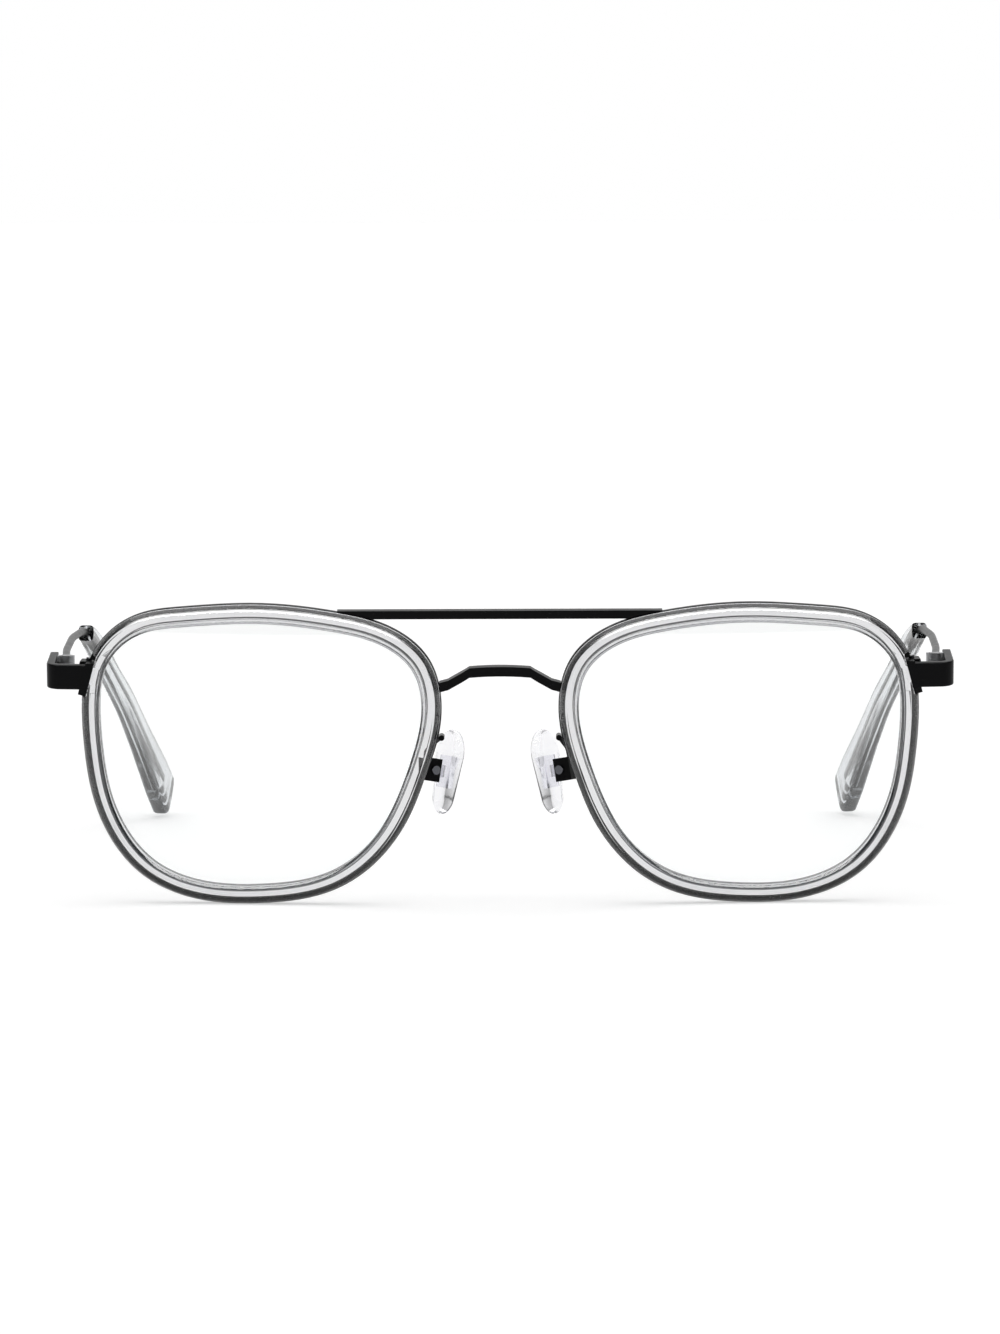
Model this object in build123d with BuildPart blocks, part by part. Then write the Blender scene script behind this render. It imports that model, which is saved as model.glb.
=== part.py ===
from build123d import *
from math import cos, radians, sin, sqrt, tan
import os

# Driving dimensions of the front, in millimetres and degrees
lens_width = 51.6
lens_height = 43.0
bridge_width = 22.6
base_curve_radius = 130.0
front_tilt = 7.0
front_wrap = 5.0

# Lens outline, nose side first and over the top, as shares of half the lens width and height
outline_shares = [
    (0.944, 0.0), (0.999, 0.325), (0.939, 0.645), (0.718, 0.857), (0.454, 0.944), (0.0, 0.999),
    (-0.466, 0.963), (-0.743, 0.889), (-0.944, 0.657), (-1.0, 0.318), (-0.986, 0.005), (-0.945, -0.30),
    (-0.847, -0.594), (-0.687, -0.823), (-0.463, -0.957), (0.0, -0.998), (0.429, -0.888), (0.612, -0.736),
    (0.757, -0.525), (0.861, -0.279),
]
outline_steps = 32

# Lens
lens_thickness = 2.0

# Acetate rim section: lip over the lens, outward reach, depth and its bevels
rim_lip = 0.75
rim_reach = 2.1
rim_depth = 4.0
front_bevel_in = 0.7
front_bevel_in_drop = 0.6
front_bevel_out = 0.95
front_bevel_out_drop = 0.8
back_bevel_in = 0.3
back_bevel_out = 0.6
back_flank_step = 0.1

# Metal rim wire let into the outer edge of the acetate
wire_depth = 1.1
wire_height = 1.25
wire_proud = 0.1
wire_setback = 0.15
wire_corner = 0.25

# Fits
lens_fit = 0.08
wire_fit = 0.03
bore_fit = 0.05
braze_gap = 0.02
overrun = 1.0

# Closing block at the temple side of each rim, split across and drawn together by a screw
lock_share = 0.4495
lock_span_share = 0.01
lock_height = 4.2
lock_slit = 0.3
lock_reach = 3.4
lock_inset = 1.0
lock_depth = 2.2
lock_screw_radius = 0.45
lock_head_radius = 0.75
lock_head_height = 0.5
notch_height = 5.8

# End piece
end_reach = 7.3
end_height = 3.9
end_drop = 0.5
end_thickness = 1.3
end_bend_radius = 1.6
end_tail = 2.2
end_edge_round = 0.25
foot_height = 5.0
foot_depth = 1.55
foot_reach = 2.3

# Hinge, upright barrel of three knuckles
hinge_back = 10.2
hinge_drop = 0.4
knuckle_radius = 1.3
outer_knuckle_height = 1.05
middle_knuckle_height = 1.2
knuckle_gap = 0.05
knuckle_pad_width = 1.9
hinge_screw_radius = 0.5
hinge_head_radius = 0.9
hinge_head_height = 0.45
slot_width = 0.28
slot_depth = 0.25
leaf_length = 3.6
leaf_width = 1.5
stop_gap = 0.03

# Temple wire and its route: how far out of the hinge and how far behind the lens centres, then the tip
arm_radius = 0.6
arm_first_out = 1.95
arm_first_back = 36.0
arm_first_rise = 0.3
arm_bow_out = 2.85
arm_bow_back = 62.0
arm_bow_rise = 0.3
ear_out = 2.5
ear_back = 90.0
ear_rise = -0.3
tip_middle_in = 2.7
tip_middle_share = 0.42
tip_end_in = 7.9
tip_end_back = 136.0
arm_lead = 4.0
arm_lead_radius = 40.0
arm_bend_radius = 180.0
ear_bend_radius = 26.0
tip_bend_radius = 110.0
tip_slope = 36.0

# Temple tip, a clear sleeve that grows into a paddle
tip_length = 60.0
tip_thickness = 3.0
tip_height = 7.0
core_setback = 7.0
tip_station_shares = [(0.0, 0.8, 0.36), (0.3, 0.84, 0.5), (0.65, 0.94, 0.84), (0.88, 1.0, 1.0), (1.0, 0.8, 0.86)]
tip_corner_share = 0.46

# Top bar, straight across the rims
bar_height = 1.3
bar_depth = 1.6
bar_rise = 0.47
bar_half_width = 25.0
bar_setback = 0.15

# Saddle bridge, seen from the front: half widths and levels of its centre line
saddle_height = 1.5
saddle_depth = 1.8
saddle_top_level = 13.4
saddle_shoulder_half = 4.7
saddle_shoulder_level = 13.2
saddle_elbow_half = 8.0
saddle_elbow_level = 11.05
saddle_foot_level = 10.15
saddle_stand_forward = 0.9

# Nose pads and what carries them
pad_half_gaps = {"right": 8.3, "left": 7.4}
pad_back = 7.2
pad_level = -3.6
pad_splay = 30.0
pad_lean = 12.0
pad_top_radius = 3.5
pad_bottom_radius = 2.6
pad_length = 13.4
pad_thickness = 2.4
pad_edge_round = 0.85
insert_length = 5.0
insert_width = 3.2
insert_thickness = 0.6
insert_fit = 0.04
tongue_width = 1.0
tongue_height = 1.9
pad_screw_offset = 2.8
pad_screw_radius = 0.4
pad_screw_head_radius = 0.7
pad_screw_head_height = 0.35
box_height = 3.6
box_width = 2.3
box_front = 1.0
box_base = 0.6
box_slot_fit = 0.08
box_swing = 0.25
pad_arm_radius = 0.45
pad_arm_share = 0.022
pad_arm_back = 4.2
pad_arm_bend = 1.1
pad_arm_lead = 1.4


# Directions of the front: up along the lens, back through it, and across the right lens to the nose
tilt = radians(front_tilt)
wrap = radians(front_wrap)
up = Vector(0, -sin(tilt), cos(tilt))
back = Vector(0, cos(tilt), sin(tilt))
across = Vector(1, 0, 0) * cos(wrap) - back * sin(wrap)
lens_back = Vector(1, 0, 0) * sin(wrap) + back * cos(wrap)

lens_centre_half = (bridge_width + lens_width * cos(wrap)) / 2
end_half_width = bridge_width / 2 + lens_width + end_reach
bar_level = lens_height / 2 + bar_rise
crown = base_curve_radius - sqrt(base_curve_radius ** 2 - (lens_height / 2) ** 2)
front_plane = Plane(origin=(0, 0, 0), x_dir=(1, 0, 0), z_dir=-back)
plan_plane = Plane(origin=(0, 0, 0), x_dir=(1, 0, 0), z_dir=up)
lens_plane = Plane(origin=(-lens_centre_half, 0, 0), x_dir=across, z_dir=-lens_back)

lens_edge = Edge.make_spline(
    [Vector(x * lens_width / 2, y * lens_height / 2, 0) for x, y in outline_shares], periodic=True
)


# Height of the base curve over a point of the lens plane
def base_curve(x, y):
    return sqrt(base_curve_radius ** 2 - x ** 2 - y ** 2) - base_curve_radius + crown


# A point of the world beside the lens edge, at a share of its length, moved outwards by grow
def loop_spot(share, grow):
    place = lens_edge @ share
    along = lens_edge % share
    x = place.X + along.Y * grow
    y = place.Y - along.X * grow
    return lens_plane.from_local_coords(Vector(x, y, base_curve(x, y)))


# Points of the lens edge moved outwards by grow, on the base curve or flat in the lens plane
def loop_points(grow, lift=0, flat=False):
    points = []
    for step in range(outline_steps):
        spot = lens_plane.to_local_coords(loop_spot(step / outline_steps, grow))
        points.append(Vector(spot.X, spot.Y, 0 if flat else spot.Z + lift))
    return points


# A closed loop in the world, following the right lens edge
def lens_loop(grow, lift=0, flat=False):
    points = [lens_plane.from_local_coords(point) for point in loop_points(grow, lift, flat)]
    return Edge.make_spline(points, periodic=True)


# Sweeps a section, in reach and depth, once round the right lens
def sweep_round(section_points):
    path = lens_loop(0)
    guide = lens_loop(0, lift=lens_width)
    forward = -lens_back
    along = path % 0
    outward = along.cross(forward)
    with BuildPart() as ring:
        with BuildSketch(Plane(origin=path @ 0, x_dir=outward, z_dir=outward.cross(forward))):
            with BuildLine():
                Polyline(*section_points, close=True)
            make_face()
        sweep(path=Wire([path]), binormal=Wire([guide]))
    return ring


# A straight block through the right lens, with the lens outline grown by grow
def lens_prism(grow):
    with BuildPart() as prism:
        with BuildSketch(lens_plane):
            with BuildLine():
                add(Edge.make_spline([Vector(p.X, p.Y) for p in loop_points(grow, flat=True)], periodic=True))
            make_face()
        extrude(amount=rim_depth + crown + overrun, both=True)
    return prism


# The same piece on the other side of the nose
def mirrored(piece):
    with BuildPart() as other:
        add(mirror(piece.part, about=Plane.YZ, mode=Mode.PRIVATE))
    return other


# Closing block frame: x outwards from the lens edge, y down along the rim, z forward
lock_along = (loop_spot(lock_share + lock_span_share, 0) - loop_spot(lock_share - lock_span_share, 0)).normalized()
lock_outward = lock_along.cross(-lens_back).normalized()
lock_plane = Plane(origin=loop_spot(lock_share, 0), x_dir=lock_outward, z_dir=lock_outward.cross(lock_along))
lock_front = wire_depth / 2 - wire_setback

# Lens, a meniscus cut by balls whose seams lie behind the head
lens_ball = Plane(
    origin=lens_plane.from_local_coords(Vector(0, 0, crown - base_curve_radius)), x_dir=lens_back, z_dir=across
)
with BuildPart() as lens_right:
    add(lens_prism(0).part)
    with Locations(lens_ball):
        Sphere(base_curve_radius + lens_thickness / 2, mode=Mode.INTERSECT)
        Sphere(base_curve_radius - lens_thickness / 2, mode=Mode.SUBTRACT)

# Acetate rim with a groove inside for the lens and one outside for the wire
half_depth = rim_depth / 2
groove_floor = rim_reach + wire_proud - wire_height - wire_fit
groove_front = wire_depth / 2 - wire_setback + wire_fit
groove_back = -wire_depth / 2 - wire_setback - wire_fit
groove_half = lens_thickness / 2 + lens_fit
groove_lean = rim_lip * (lens_width + lens_height) / 4 / base_curve_radius
back_reach = rim_reach - back_flank_step
acetate_rim_right = sweep_round([
    (-rim_lip, half_depth - front_bevel_in_drop),
    (-rim_lip + front_bevel_in, half_depth),
    (rim_reach - front_bevel_out, half_depth),
    (rim_reach, half_depth - front_bevel_out_drop),
    (rim_reach, groove_front),
    (groove_floor, groove_front),
    (groove_floor, groove_back),
    (back_reach, groove_back),
    (back_reach, -half_depth + back_bevel_out),
    (back_reach - back_bevel_out, -half_depth),
    (-rim_lip + back_bevel_in, -half_depth),
    (-rim_lip, -half_depth + back_bevel_in),
    (-rim_lip, groove_lean - groove_half),
    (lens_fit, -groove_half),
    (lens_fit, groove_half),
    (-rim_lip, groove_lean + groove_half),
])
with BuildPart() as notch:
    with BuildSketch(lock_plane):
        with Locations((lock_inset + lock_reach / 2 - wire_fit, 0)):
            Rectangle(lock_reach, notch_height)
    extrude(amount=rim_depth, both=True)
with BuildPart() as acetate_rim_notched:
    add(acetate_rim_right.part)
    add(notch.part, mode=Mode.SUBTRACT)

# Rim wire, cut where the closing block sits
wire_in = rim_reach + wire_proud - wire_height
wire_out = rim_reach + wire_proud
wire_front = wire_depth / 2 - wire_setback
wire_rear = -wire_depth / 2 - wire_setback
with BuildPart() as rim_wire_right:
    add(sweep_round([
        (wire_in, wire_front), (wire_out - wire_corner, wire_front), (wire_out, wire_front - wire_corner),
        (wire_out, wire_rear + wire_corner), (wire_out - wire_corner, wire_rear), (wire_in, wire_rear),
    ]).part)
    with BuildSketch(lock_plane):
        with Locations((lock_reach / 2, 0)):
            Rectangle(lock_reach, lock_height + braze_gap * 2)
    extrude(amount=rim_depth, both=True, mode=Mode.SUBTRACT)

# Closing block halves, upper one brazed behind the end piece, and the screw that draws them together
lock_half_height = (lock_height - lock_slit) / 2
lock_screw_reach = (lock_inset + lock_reach) / 2
lock_screw_depth = lock_front - lock_depth / 2


def lock_half(side):
    with BuildPart() as half:
        with BuildSketch(lock_plane.offset(lock_front)):
            with Locations(((lock_inset + lock_reach) / 2, side * (lock_slit + lock_half_height) / 2)):
                Rectangle(lock_reach - lock_inset, lock_half_height)
        extrude(amount=-lock_depth)
        with BuildSketch(lock_screw_plane):
            Circle(lock_screw_radius + braze_gap)
        extrude(amount=lock_height, both=True, mode=Mode.SUBTRACT)
        if side > 0:
            with BuildSketch(lock_screw_plane.offset(lock_height / 2)):
                Circle(lock_head_radius + bore_fit)
            extrude(amount=-lock_head_height, mode=Mode.SUBTRACT)
    return half


lock_screw_plane = Plane(
    origin=lock_plane.from_local_coords(Vector(lock_screw_reach, 0, lock_screw_depth)),
    x_dir=lock_outward,
    z_dir=lock_plane.y_dir,
)
rim_lock_upper_right = lock_half(-1)
rim_lock_lower_right = lock_half(1)
with BuildPart() as rim_lock_screw_right:
    with BuildSketch(lock_screw_plane.offset(-lock_height / 2)):
        Circle(lock_screw_radius)
    extrude(amount=lock_height - lock_head_height + braze_gap)
    with BuildSketch(lock_screw_plane.offset(lock_height / 2)):
        Circle(lock_head_radius)
    extrude(amount=-lock_head_height + braze_gap)
    with BuildSketch(lock_screw_plane.offset(lock_height / 2)):
        Rectangle(lock_head_radius * 2 + overrun, slot_width)
    extrude(amount=-slot_depth, mode=Mode.SUBTRACT)

# End piece: a foot on the rim and a bar that turns back to the hinge
foot_start = lock_front + wire_fit * 2
foot_middle = lock_plane.from_local_coords(Vector((lock_inset + foot_reach) / 2, 0, foot_start + foot_depth / 2))
foot_plan = plan_plane.to_local_coords(foot_middle)
end_corner_x = -end_half_width + end_thickness / 2
end_corner_back = foot_plan.Y + (foot_plan.X - end_corner_x) * tan(wrap)
with BuildPart() as end_piece_right:
    with BuildSketch(lock_plane.offset(foot_start)):
        with Locations(((lock_inset + foot_reach) / 2, 0)):
            Rectangle(foot_reach - lock_inset, foot_height)
    extrude(amount=foot_depth)
    with BuildPart(mode=Mode.PRIVATE) as end_bar:
        with BuildSketch(plan_plane.offset(foot_plan.Z - end_drop - end_height / 2)):
            with BuildLine():
                FilletPolyline(
                    (foot_plan.X, foot_plan.Y), (end_corner_x, end_corner_back), (end_corner_x, hinge_back + end_tail),
                    radius=end_bend_radius,
                )
            trace(line_width=end_thickness)
        extrude(amount=end_height)
        fillet(end_bar.faces().sort_by(Axis(origin=(0, 0, 0), direction=up))[-1].edges(), end_edge_round)
        fillet(end_bar.faces().sort_by(Axis(origin=(0, 0, 0), direction=up))[0].edges(), end_edge_round)
    add(end_bar.part)

# Hinge: upright axis inside the tail of the end piece
end_inside = end_half_width - end_thickness
hinge_half = end_inside - knuckle_radius - stop_gap
hinge_seat = plan_plane.from_local_coords(Vector(0, hinge_back, foot_plan.Z))
hinge_y = hinge_seat.Y
hinge_z = hinge_seat.Z - hinge_drop
stack_height = outer_knuckle_height * 2 + middle_knuckle_height + knuckle_gap * 2
stack_bottom = hinge_z - stack_height / 2
stack_top = stack_bottom + stack_height
hinge_foot = Plane(origin=(-hinge_half, hinge_y, stack_bottom))
with BuildPart() as hinge_knuckles_right:
    for level in (0, outer_knuckle_height + middle_knuckle_height + knuckle_gap * 2):
        with BuildSketch(hinge_foot.offset(level)):
            Circle(knuckle_radius)
            with Locations((-(knuckle_radius + stop_gap) / 2, 0)):
                Rectangle(knuckle_radius + stop_gap, knuckle_pad_width)
            Circle(hinge_screw_radius + bore_fit, mode=Mode.SUBTRACT)
        extrude(amount=outer_knuckle_height)
    with BuildSketch(hinge_foot.offset(stack_height)):
        Circle(hinge_head_radius + bore_fit)
    extrude(amount=-hinge_head_height, mode=Mode.SUBTRACT)
with BuildPart() as hinge_screw_right:
    with BuildSketch(hinge_foot):
        Circle(hinge_screw_radius)
    extrude(amount=stack_height - hinge_head_height + bore_fit)
    with BuildSketch(hinge_foot.offset(stack_height)):
        Circle(hinge_head_radius)
    extrude(amount=-hinge_head_height + bore_fit)
    with BuildSketch(hinge_foot.offset(stack_height)):
        Rectangle(hinge_head_radius * 2 + overrun, slot_width)
    extrude(amount=-slot_depth, mode=Mode.SUBTRACT)
with BuildPart() as hinge_leaf_right:
    with BuildSketch(hinge_foot.offset(outer_knuckle_height + knuckle_gap)):
        Circle(knuckle_radius)
        with Locations((-knuckle_radius + leaf_width / 2, leaf_length / 2)):
            Rectangle(leaf_width, leaf_length)
        Circle(hinge_screw_radius + bore_fit, mode=Mode.SUBTRACT)
    extrude(amount=middle_knuckle_height)

# Where the rims stand, measured down from the lens centres
rest_drop = -acetate_rim_notched.part.bounding_box().min.Z

# Temple wire route: out of the hinge leaf, along the head, down behind the ear
leaf_end = Vector(-hinge_half - knuckle_radius + leaf_width / 2, hinge_y + leaf_length, hinge_z)
ear = Vector(-hinge_half - ear_out, ear_back, hinge_z + ear_rise)
tip_end = Vector(-hinge_half + tip_end_in, tip_end_back, -rest_drop + tip_height / 2 * cos(radians(tip_slope)))
tip_middle = ear + (tip_end - ear) * tip_middle_share
arm_corners = [
    leaf_end,
    leaf_end + Vector(0, arm_lead, 0),
    Vector(-hinge_half - arm_first_out, arm_first_back, hinge_z + arm_first_rise),
    Vector(-hinge_half - arm_bow_out, arm_bow_back, hinge_z + arm_bow_rise),
    ear,
    Vector(-hinge_half + tip_middle_in, tip_middle.Y, tip_middle.Z),
]
arm_radii = [arm_lead_radius, arm_bend_radius, arm_bend_radius, ear_bend_radius, tip_bend_radius]
core_end = tip_end + (arm_corners[-1] - tip_end).normalized() * core_setback
with BuildLine() as tip_route:
    FilletPolyline(*arm_corners, tip_end, radius=arm_radii)
with BuildLine() as arm_route:
    FilletPolyline(*arm_corners, core_end, radius=arm_radii)
arm_wire = arm_route.wires()[0]
tip_wire = tip_route.wires()[0]
with BuildPart() as temple_arm_right:
    with BuildSketch(Plane(origin=arm_wire @ 0, z_dir=arm_wire % 0)):
        Circle(arm_radius)
    sweep(path=arm_wire)

# Temple tip: sections square to the route, wide side upright
tip_start_share = 1 - tip_length / tip_wire.length
with BuildPart() as temple_tip_right:
    for share, thick_share, tall_share in tip_station_shares:
        spot = tip_start_share + (1 - tip_start_share) * share
        ahead = tip_wire % spot
        with BuildSketch(Plane(origin=tip_wire @ spot, x_dir=Vector(0, 0, 1).cross(ahead), z_dir=ahead)):
            RectangleRounded(
                tip_thickness * thick_share, tip_height * tall_share, tip_thickness * thick_share * tip_corner_share
            )
    loft()
    with BuildSketch(Plane(origin=arm_wire @ 0, z_dir=arm_wire % 0)):
        Circle(arm_radius + bore_fit)
    sweep(path=arm_wire, mode=Mode.SUBTRACT)

# Top bar: a straight strip lying on both rim wires
with BuildPart() as top_bar:
    with BuildSketch(front_plane.offset(-lens_plane.origin.Y)):
        with Locations((0, bar_level)):
            Rectangle(bar_half_width * 2, bar_height)
    extrude(amount=rim_depth * 2, both=True)
rim_top_back = plan_plane.to_local_coords(
    lens_plane.from_local_coords(Vector(lens_width / 4, lens_height / 2, base_curve(lens_width / 4, lens_height / 2)))
).Y
with BuildPart() as top_bar_cut:
    add(top_bar.part)
    with BuildSketch(plan_plane):
        with Locations((0, rim_top_back + bar_setback)):
            Rectangle(bar_half_width * 2 + overrun, bar_depth)
    extrude(amount=lens_height, mode=Mode.INTERSECT)
    rim_stand = lens_prism(wire_out + wire_fit)
    add(rim_stand.part, mode=Mode.SUBTRACT)
    add(mirror(rim_stand.part, about=Plane.YZ, mode=Mode.PRIVATE), mode=Mode.SUBTRACT)

# Saddle bridge: arched front view cut by its plan, its ends set back to the rim wires
rim_nose_back = plan_plane.to_local_coords(
    lens_plane.from_local_coords(Vector(lens_width / 2, saddle_foot_level, base_curve(lens_width / 2, saddle_foot_level)))
).Y
saddle_reach = bridge_width / 2
half_saddle = saddle_height / 2
with BuildPart() as saddle_bridge:
    with BuildSketch(front_plane):
        with BuildLine():
            ThreePointArc(
                (-saddle_shoulder_half, saddle_shoulder_level + half_saddle),
                (0, saddle_top_level + half_saddle),
                (saddle_shoulder_half, saddle_shoulder_level + half_saddle),
            )
            Polyline(
                (saddle_shoulder_half, saddle_shoulder_level + half_saddle),
                (saddle_elbow_half, saddle_elbow_level + half_saddle),
                (saddle_reach, saddle_foot_level + half_saddle),
                (saddle_reach, saddle_foot_level - half_saddle),
                (saddle_elbow_half, saddle_elbow_level - half_saddle),
                (saddle_shoulder_half, saddle_shoulder_level - half_saddle),
            )
            ThreePointArc(
                (saddle_shoulder_half, saddle_shoulder_level - half_saddle),
                (0, saddle_top_level - half_saddle),
                (-saddle_shoulder_half, saddle_shoulder_level - half_saddle),
            )
            Polyline(
                (-saddle_shoulder_half, saddle_shoulder_level - half_saddle),
                (-saddle_elbow_half, saddle_elbow_level - half_saddle),
                (-saddle_reach, saddle_foot_level - half_saddle),
                (-saddle_reach, saddle_foot_level + half_saddle),
                (-saddle_elbow_half, saddle_elbow_level + half_saddle),
                (-saddle_shoulder_half, saddle_shoulder_level + half_saddle),
            )
        make_face()
    extrude(amount=rim_depth * 2, both=True)
with BuildPart() as saddle_bridge_cut:
    add(saddle_bridge.part)
    with BuildSketch(plan_plane):
        with BuildLine():
            FilletPolyline(
                (-saddle_reach, rim_nose_back + wire_setback),
                (-saddle_elbow_half, rim_nose_back + wire_setback),
                (-saddle_shoulder_half - half_saddle, rim_nose_back - saddle_stand_forward),
                (saddle_shoulder_half + half_saddle, rim_nose_back - saddle_stand_forward),
                (saddle_elbow_half, rim_nose_back + wire_setback),
                (saddle_reach, rim_nose_back + wire_setback),
                radius=saddle_depth,
            )
        trace(line_width=saddle_depth)
    extrude(amount=lens_height, mode=Mode.INTERSECT)
    add(rim_stand.part, mode=Mode.SUBTRACT)
    add(mirror(rim_stand.part, about=Plane.YZ, mode=Mode.PRIVATE), mode=Mode.SUBTRACT)


# Nose pad set of the right side, for a pad that stands half_gap from the middle
def pad_set(half_gap):
    splay = radians(pad_splay)
    lean = radians(pad_lean)
    pad_along = Vector(sin(lean), 0, cos(lean))
    pad_rearward = Vector(-sin(splay), cos(splay), 0)
    to_nose = pad_rearward.cross(pad_along).normalized()
    pad_plane = Plane(origin=(-half_gap, pad_back, pad_level), x_dir=pad_rearward, z_dir=to_nose)
    reach = pad_length / 2
    with BuildPart() as nose_pad:
        with BuildSketch(pad_plane.offset(-pad_thickness / 2)):
            with Locations((0, reach - pad_top_radius)):
                Circle(pad_top_radius)
            with Locations((0, -reach + pad_bottom_radius)):
                Circle(pad_bottom_radius)
            make_hull()
        extrude(amount=pad_thickness)
        fillet(nose_pad.edges().filter_by(lambda edge: edge.length > pad_top_radius), pad_edge_round)
        with BuildSketch(pad_plane.offset(-insert_thickness / 2 - insert_fit)):
            Rectangle(insert_width + insert_fit * 2, insert_length + insert_fit * 2)
        extrude(amount=insert_thickness + insert_fit * 2, mode=Mode.SUBTRACT)
        with BuildSketch(pad_plane):
            Rectangle(tongue_width + insert_fit * 2, tongue_height + insert_fit * 2)
        extrude(amount=-pad_thickness, mode=Mode.SUBTRACT)
    screw_plane = Plane(
        origin=pad_plane.from_local_coords(Vector(0, 0, -pad_screw_offset)), x_dir=to_nose, z_dir=-pad_rearward
    )
    with BuildPart() as pad_insert:
        with BuildSketch(pad_plane.offset(-insert_thickness / 2)):
            Rectangle(insert_width, insert_length)
        extrude(amount=insert_thickness)
        with BuildSketch(pad_plane):
            Rectangle(tongue_width, tongue_height)
        extrude(amount=-pad_screw_offset)
        with BuildSketch(screw_plane):
            Circle(tongue_height / 2)
        extrude(amount=tongue_width / 2, both=True)
        with BuildSketch(screw_plane):
            Circle(pad_screw_radius + bore_fit)
        extrude(amount=tongue_width, both=True, mode=Mode.SUBTRACT)
    slot_floor = tongue_height / 2 + box_swing
    with BuildPart() as pad_box:
        with BuildSketch(screw_plane):
            with Locations(((box_front - slot_floor - box_base) / 2, 0)):
                Rectangle(box_front + slot_floor + box_base, box_height)
        extrude(amount=box_width / 2, both=True)
        with BuildSketch(screw_plane):
            with Locations((box_front - (box_front + slot_floor) / 2 + overrun / 2, 0)):
                Rectangle(box_front + slot_floor + overrun, box_height + overrun)
        extrude(amount=tongue_width / 2 + box_slot_fit, both=True, mode=Mode.SUBTRACT)
        with BuildSketch(screw_plane):
            Circle(pad_screw_radius + braze_gap)
        extrude(amount=box_width, both=True, mode=Mode.SUBTRACT)
    with BuildPart() as pad_screw:
        with BuildSketch(screw_plane.offset(-box_width / 2)):
            Circle(pad_screw_radius)
        extrude(amount=box_width + braze_gap)
        with BuildSketch(screw_plane.offset(box_width / 2 + braze_gap)):
            Circle(pad_screw_head_radius)
        extrude(amount=pad_screw_head_height)
        with BuildSketch(screw_plane.offset(box_width / 2 + braze_gap + pad_screw_head_height)):
            Rectangle(pad_screw_head_radius * 2 + overrun, slot_width)
        extrude(amount=-pad_screw_head_height / 2, mode=Mode.SUBTRACT)
    arm_seat = screw_plane.from_local_coords(Vector(-slot_floor - box_base / 2, box_height / 2, 0))
    rim_spot = loop_spot(pad_arm_share, wire_out + pad_arm_radius + wire_fit) - lens_back * wire_front
    with BuildPart() as pad_arm:
        with BuildLine() as pad_route:
            FilletPolyline(
                rim_spot,
                rim_spot + Vector(0, pad_arm_back, 0),
                arm_seat + pad_along * pad_arm_lead,
                arm_seat,
                radius=pad_arm_bend,
            )
        with BuildSketch(Plane(origin=pad_route.wires()[0] @ 0, z_dir=pad_route.wires()[0] % 0)):
            Circle(pad_arm_radius)
        sweep()
    return {"nose_pad": nose_pad, "pad_insert": pad_insert, "pad_box": pad_box, "pad_screw": pad_screw,
            "pad_arm": pad_arm}


pads_right = pad_set(pad_half_gaps["right"])
pads_left = {name: mirrored(piece) for name, piece in pad_set(pad_half_gaps["left"]).items()}

# Every piece under its own name
pieces = {"top_bar": top_bar_cut, "saddle_bridge": saddle_bridge_cut}
right_pieces = {
    "acetate_rim": acetate_rim_notched,
    "rim_wire": rim_wire_right,
    "lens": lens_right,
    "rim_lock_upper": rim_lock_upper_right,
    "rim_lock_lower": rim_lock_lower_right,
    "rim_lock_screw": rim_lock_screw_right,
    "end_piece": end_piece_right,
    "hinge_knuckles": hinge_knuckles_right,
    "hinge_screw": hinge_screw_right,
    "hinge_leaf": hinge_leaf_right,
    "temple_arm": temple_arm_right,
    "temple_tip": temple_tip_right,
}
for name, piece in right_pieces.items():
    pieces[name + "_right"] = piece
    pieces[name + "_left"] = mirrored(piece)
for name, piece in pads_right.items():
    pieces[name + "_right"] = piece
for name, piece in pads_left.items():
    pieces[name + "_left"] = piece

# Stands on the rims and tips, with the origin under the middle of the whole
boxes = [piece.part.bounding_box() for piece in pieces.values()]
middle_back = (min(box.min.Y for box in boxes) + max(box.max.Y for box in boxes)) / 2
lowest = min(box.min.Z for box in boxes)
os.makedirs("parts", exist_ok=True)
for name, piece in pieces.items():
    with BuildPart() as placed:
        with Locations((0, -middle_back, -lowest)):
            add(piece.part)
    placed.part.label = name
    export_step(placed.part, f"parts/{name}.step")
print("hinge axis", hinge_half, hinge_y - middle_back, hinge_z - lowest)
print("shift", -middle_back, -lowest)
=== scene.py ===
from math import cos, pi, radians, sin, sqrt

import bmesh
import bpy
import numpy as np
from mathutils import Matrix, Vector


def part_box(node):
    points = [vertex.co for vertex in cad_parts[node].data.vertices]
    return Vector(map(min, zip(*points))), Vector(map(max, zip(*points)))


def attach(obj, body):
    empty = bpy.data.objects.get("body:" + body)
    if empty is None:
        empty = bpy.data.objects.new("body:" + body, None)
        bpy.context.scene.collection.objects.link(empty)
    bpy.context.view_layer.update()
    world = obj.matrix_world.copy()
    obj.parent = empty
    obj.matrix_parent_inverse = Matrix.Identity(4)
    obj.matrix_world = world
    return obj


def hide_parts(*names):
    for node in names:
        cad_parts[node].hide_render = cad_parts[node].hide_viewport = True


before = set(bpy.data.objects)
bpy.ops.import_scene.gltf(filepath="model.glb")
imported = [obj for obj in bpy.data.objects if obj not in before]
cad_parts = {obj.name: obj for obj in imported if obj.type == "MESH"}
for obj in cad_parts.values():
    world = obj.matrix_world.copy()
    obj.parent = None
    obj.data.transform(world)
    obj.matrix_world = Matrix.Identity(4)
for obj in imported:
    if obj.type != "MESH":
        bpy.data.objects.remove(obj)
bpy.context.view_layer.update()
mm = 0.001
sideNames = ("right", "left")
mergeDistance = 1e-7  # metres, for points that a mesh has twice

# shared helpers


def linearColour(hexText):  # sRGB hex to the linear colour that nodes want
    parts = [int(hexText[i:i + 2], 16) / 255 for i in (1, 3, 5)]
    return tuple(p / 12.92 if p <= 0.04045 else ((p + 0.055) / 1.055) ** 2.4 for p in parts) + (1.0,)


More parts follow.
